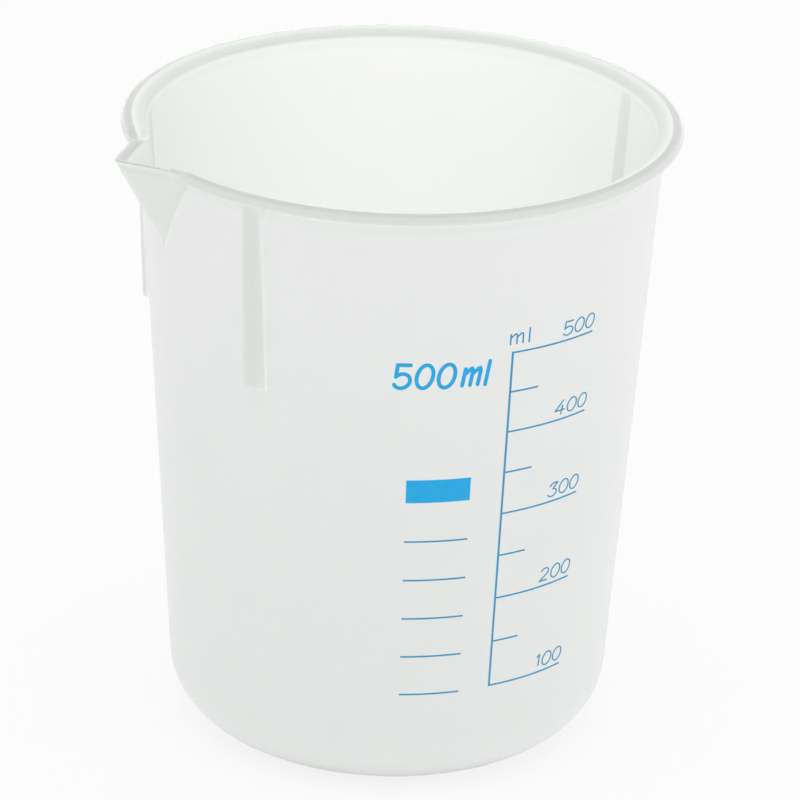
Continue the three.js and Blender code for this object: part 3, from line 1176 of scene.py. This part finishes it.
@dataclass
class Lettering:
    """Plain stroke lettering, as drawn for engineering scales."""

    arc_steps: int = 28

    def bowl(self, centre: Pair, radii: Pair, start: float, end: float) -> np.ndarray:
        """Gives the points of a stretch of an ellipse.

        Args:
            centre: Its centre.
            radii: Its two radii.
            start: The angle where it starts, in degrees.
            end: The angle where it ends, in degrees.

        Returns:
            The points, one row each.
        """
        angles = np.radians(np.linspace(start, end, self.arc_steps + 1))
        return np.array(centre) + np.column_stack([np.cos(angles), np.sin(angles)]) * radii

    def lines(self, character: str) -> list[np.ndarray]:
        """Gives the centre lines of a character in a box of one by one.

        Args:
            character: The character, a digit or a letter.

        Returns:
            The points of each line.
        """
        lines = {
            "0": [self.bowl((0.5, 0.5), (0.5, 0.5), 90.0, -270.0)],
            "1": [[(0.55, 0.77), (0.77, 0.94)], [(0.77, 0.94), (0.88, 0.08)]],
            "2": [
                [*self.bowl((0.53, 0.7), (0.39, 0.27), 165.0, -38.0), (0.12, 0.04)],
                [(0.12, 0.04), (0.9, 0.04)],
            ],
            "3": [
                [(0.1, 0.78), (0.2, 0.93), (0.42, 1.0), (0.88, 1.0)],
                [(0.88, 1.0), (0.46, 0.56)],
                self.bowl((0.46, 0.28), (0.46, 0.28), 90.0, -155.0),
            ],
            "4": [
                [(0.7, 1.0), (0.0, 0.3)],
                [(0.0, 0.3), (1.0, 0.3)],
                [(0.72, 0.62), (0.72, 0.0)],
            ],
            "5": [
                [(0.85, 1.0), (0.06, 1.0)],
                [(0.06, 1.0), (0.1, 0.48)],
                self.bowl((0.5, 0.31), (0.5, 0.31), 145.0, -150.0),
            ],
            "m": [
                [(0.0, 0.0), (0.0, 0.71)],
                [(0.0, 0.46), (0.33, 0.69), (0.43, 0.71), (0.5, 0.63), (0.5, 0.0)],
                [(0.5, 0.46), (0.83, 0.69), (0.93, 0.71), (1.0, 0.63), (1.0, 0.0)],
            ],
            "l": [[(0.0, 0.0), (0.0, 1.0)]],
        }
        return [np.array(line) for line in lines[character]]

    def strokes(self, character: str, size: LetterSize) -> list[Stroke]:
        """Gives the strokes of a character, with the left foot of its box at the origin.

        Args:
            character: The character.
            size: Its size and slant.

        Returns:
            The strokes.
        """
        lean = math.tan(math.radians(size.slant))
        found = []
        for line in self.lines(character):
            closed = bool(np.allclose(line[0], line[-1]))
            sized = line * (size.width, size.tall)
            sized[:, 0] += lean * sized[:, 1]
            found.append(Stroke(sized[:-1] if closed else sized, size.stroke, closed=closed))
        return found


@dataclass
class PrintedFilm:
    """All printed film on the wall: the scale, its numerals, the capacity mark and the writing panel."""

    form: CupForm
    bold_finish: bpy.types.Material
    fine_finish: bpy.types.Material
    lettering: Lettering = field(default_factory=Lettering)
    thickness: float = 0.1
    clearance: float = 0.04
    bar_step: float = 0.8
    rule_width: float = 0.3
    broadest_rule: float = 1.0
    mark_reach: float = 0.09
    numeral: LetterSize = LetterSize(2.2, 2.68, 0.25, 10.0)
    unit: LetterSize = LetterSize(2.5, 2.75, 0.28, 0.0)
    capacity: LetterSize = LetterSize(2.9, 4.6, 0.72, 9.0)
    capacity_volume: int = 500

    def lay(self, name: str, strokes: list[Stroke], place: WallPlace) -> Piece:
        """Lays strokes on the wall as one closed film.

        Args:
            name: The name of the piece.
            strokes: The strokes, in a flat frame of their own.
            place: Where the middle of their box goes.

        Returns:
            The piece.
        """
        polygons = [polygon for stroke in strokes for polygon in stroke.polygons()]
        flat = np.vstack(polygons)
        flat -= (flat.min(axis=0) + flat.max(axis=0)) / 2
        starts = np.cumsum([0] + [len(polygon) for polygon in polygons])
        rings = [list(range(a, b)) for a, b in zip(starts[:-1], starts[1:])]
        corners = [Vector(point) for point in flat]
        found, _, cells, _, _, origins = delaunay_2d_cdt(corners, [], rings, 0, MERGE_DISTANCE, True)
        triangles = [tuple(cell) for cell, origin in zip(cells, origins) if origin]
        used = sorted({corner for triangle in triangles for corner in triangle})
        number = {corner: i for i, corner in enumerate(used)}
        triangles = [tuple(number[corner] for corner in triangle) for triangle in triangles]
        spots = np.array([found[corner] for corner in used])

        height = place.height + spots[:, 1]
        angle = place.azimuth + spots[:, 0] / self.form.wall_radius(place.height)
        skins = []
        for proud in (self.clearance, self.clearance + self.thickness):
            radius = self.form.wall_radius(height) + proud
            skins.append(np.column_stack([radius * np.cos(angle), radius * np.sin(angle), height]))
        top = len(spots)
        edges = {(t[i], t[(i + 1) % 3]) for t in triangles for i in range(3)}
        rim = [(a, b) for a, b in edges if (b, a) not in edges]
        faces: Faces = [tuple(corner + top for corner in t) for t in triangles]
        faces += [t[::-1] for t in triangles]
        faces += [(a, b, b + top, a + top) for a, b in sorted(rim)]
        return mesh_piece(name, np.vstack(skins), faces, smooth=False)

    def bar(self, node: str) -> Piece:
        """Prints a straight bar where a node lies.

        Args:
            node: The node's name.

        Returns:
            The piece.
        """
        place = WallPlace.of_node(node, self.form)
        long, wide = max(place.width, place.tall), min(place.width, place.tall)
        level = place.width > place.tall
        if level and wide < self.broadest_rule:
            wide = self.rule_width
        if node.startswith("graduation_"):
            long += self.mark_reach
            aside = self.mark_reach / 2 / self.form.wall_radius(place.height)
            place = replace(place, azimuth=place.azimuth - aside)
        run = np.linspace(0.0, long, max(2, math.ceil(long / self.bar_step) + 1))
        points = np.column_stack([run, 0.0 * run] if level else [0.0 * run, run])
        return self.lay(f"ink_{node}", [Stroke(points, wide, StrokeEnd.SQUARE)], place)

    def character(self, node: str, character: str, size: LetterSize) -> Piece:
        """Prints a character where a node lies."""
        place = WallPlace.of_node(node, self.form)
        return self.lay(f"ink_{node}", self.lettering.strokes(character, size), place)

    def number(self, label: str, number: int, size: LetterSize) -> list[Piece]:
        """Prints a number of three digits where its nodes lie."""
        nodes = (f"{label}_{digit}" for digit in ("hundreds", "tens", "units"))
        return [self.character(node, digit, size) for node, digit in zip(nodes, str(number))]

    def build(self) -> list[Piece]:
        """Prints everything that the frame has a node for.

        Returns:
            The pieces.
        """
        nodes = sorted(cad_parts)
        bars = [n for n in nodes if n.startswith(("graduation_", "panel_")) or n == "scale_stem"]
        pieces = [self.bar(node) for node in bars]
        for volume in sorted({int(n.split("_")[1]) for n in nodes if n.startswith("numeral_")}):
            pieces += self.number(f"numeral_{volume}", volume, self.numeral)
        pieces += [self.character(f"unit_letter_{letter}", letter, self.unit) for letter in "ml"]
        pieces += self.number("capacity", self.capacity_volume, self.capacity)
        pieces += [self.character(f"capacity_letter_{letter}", letter, self.capacity) for letter in "ml"]
        return pieces

    def dress(self, pieces: list[Piece]) -> list[Piece]:
        """Gives the film its ink and its place on the frame. So thin a film casts no shadow.

        Args:
            pieces: The pieces of film.

        Returns:
            The same pieces.
        """
        for piece in pieces:
            node = piece.name.removeprefix("ink_")
            bold = node.startswith("capacity_") or node == "panel_head_bar"
            piece.data.materials.append(self.bold_finish if bold else self.fine_finish)
            piece.visible_shadow = False
            piece.visible_diffuse = False
            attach(piece, BODY)
            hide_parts(node)
        return pieces


@dataclass(frozen=True)
class SoftBox:
    """A large soft lamp that faces the beaker."""

    name: str
    azimuth: float
    elevation: float
    distance: float
    width: float
    tall: float
    power: float

    def place(self, target: Vector) -> Piece:
        """Puts the lamp in the scene.

        Args:
            target: The point that it faces, in metres.

        Returns:
            The lamp.
        """
        lamp = bpy.data.lights.new(self.name, "AREA")
        lamp.shape = "ELLIPSE"
        lamp.size = self.width * MM
        lamp.size_y = self.tall * MM
        lamp.energy = self.power
        light = new_object(self.name, lamp)
        away = direction(self.azimuth, self.elevation)
        light.location = target + away * self.distance * MM
        light.rotation_euler = away.to_track_quat("Z", "Y").to_euler()
        light.visible_camera = False
        return light


def direction(azimuth: float, elevation: float) -> Vector:
    """Gives the unit vector towards an azimuth, counted to the right from the front, and an elevation."""
    turn, rise = math.radians(azimuth), math.radians(elevation)
    return Vector((math.sin(turn) * math.cos(rise), -math.cos(turn) * math.cos(rise), math.sin(rise)))


@dataclass
class Studio:
    """The white studio: floor, world, lamps and camera."""

    floor_side: float = 8000.0
    world_colour: Colour = (1.0, 1.0, 1.0, 1.0)
    world_light: float = 0.805
    view_azimuth: float = -26.5
    view_elevation: float = 23.691
    view_roll: float = 1.706
    view_distance: float = 897.55
    view_target: tuple[float, float, float] = (0.947, -0.472, 62.88)
    focal_pixels: float = 4756.2
    sensor_width: float = 36.0
    lamps: tuple[SoftBox, ...] = (
        SoftBox("top_softbox", -26.5, 84.0, 1400.0, 1100.0, 1100.0, 6.6),
        SoftBox("back_softbox", 153.5, 0.0, 1500.0, 2200.0, 100.0, 5.6),
        SoftBox("back_high_softbox", 153.5, 9.0, 1500.0, 700.0, 300.0, 0.4),
        SoftBox("right_softbox", 63.5, 0.0, 1500.0, 900.0, 100.0, 0.9),
    )

    def floor(self) -> Piece:
        """Lays the floor.

        Returns:
            The floor.
        """
        half = self.floor_side / 2
        corners = [[-half, -half, 0.0], [half, -half, 0.0], [half, half, 0.0], [-half, half, 0.0]]
        floor = mesh_piece("studio_floor", np.array(corners), [(0, 1, 2, 3)], smooth=False)
        floor.data.materials.append(WhiteSweep().material())
        return floor

    def world(self) -> bpy.types.World:
        """Lights the scene from all round, and shows the camera white.

        Returns:
            The world.
        """
        world = bpy.data.worlds.new("white_studio")
        world.use_nodes = True
        sheet = NodeSheet(world.node_tree)
        strength = sheet.spread(seen_directly(sheet), self.world_light, 1.0)
        sheet.fill(world.node_tree.nodes["Background"], {"Color": self.world_colour, "Strength": strength})
        bpy.context.scene.world = world
        return world

    def camera(self) -> Piece:
        """Places the camera at the photograph's viewing angle.

        Returns:
            The camera.
        """
        target = Vector(self.view_target) * MM
        back = direction(self.view_azimuth, self.view_elevation)
        level = direction(self.view_azimuth + 90.0, 0.0)
        turned = Matrix.Rotation(math.radians(self.view_roll), 3, back)
        right = turned @ level
        above = back.cross(right)
        data = bpy.data.cameras.new("photo_camera")
        data.sensor_width = self.sensor_width
        data.lens = data.sensor_width * self.focal_pixels / PICTURE_SIDE
        camera = new_object("photo_camera", data)
        pose = Matrix((right, above, back)).transposed().to_4x4()
        pose.translation = target + back * self.view_distance * MM
        camera.matrix_world = pose
        bpy.context.scene.camera = camera
        return camera

    def build(self) -> list[Piece]:
        """Builds the studio.

        Returns:
            Its camera, floor and lamps.
        """
        bpy.context.scene.view_settings.view_transform = "Standard"
        self.world()
        target = Vector(self.view_target) * MM
        return [self.camera(), self.floor(), *(lamp.place(target) for lamp in self.lamps)]


def main() -> None:
    """Builds the studio, the moulding and the print in order."""
    logging.basicConfig(level=logging.INFO, format="%(name)s: %(message)s")
    for thing in Studio().build():
        log.info("studio: %s", thing.name)
    surface = moulded_surface()
    form = CupForm(height=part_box("moulded_body")[1].z / MM)
    moulding = Moulding(form, NaturalPlastic(surface).material())
    body = moulding.dress(moulding.build())
    log.info("moulding: %s, %d faces", body.name, len(body.data.polygons))
    fine_ink = PrintedInk(surface, "fine_blue_ink", FINE_INK, FINE_INK_THIN)
    film = PrintedFilm(form, PrintedInk(surface).material(), fine_ink.material())
    for piece in film.dress(film.build()):
        log.info("print: %s, %d faces", piece.name, len(piece.data.polygons))


if __name__ == "__main__":
    main()
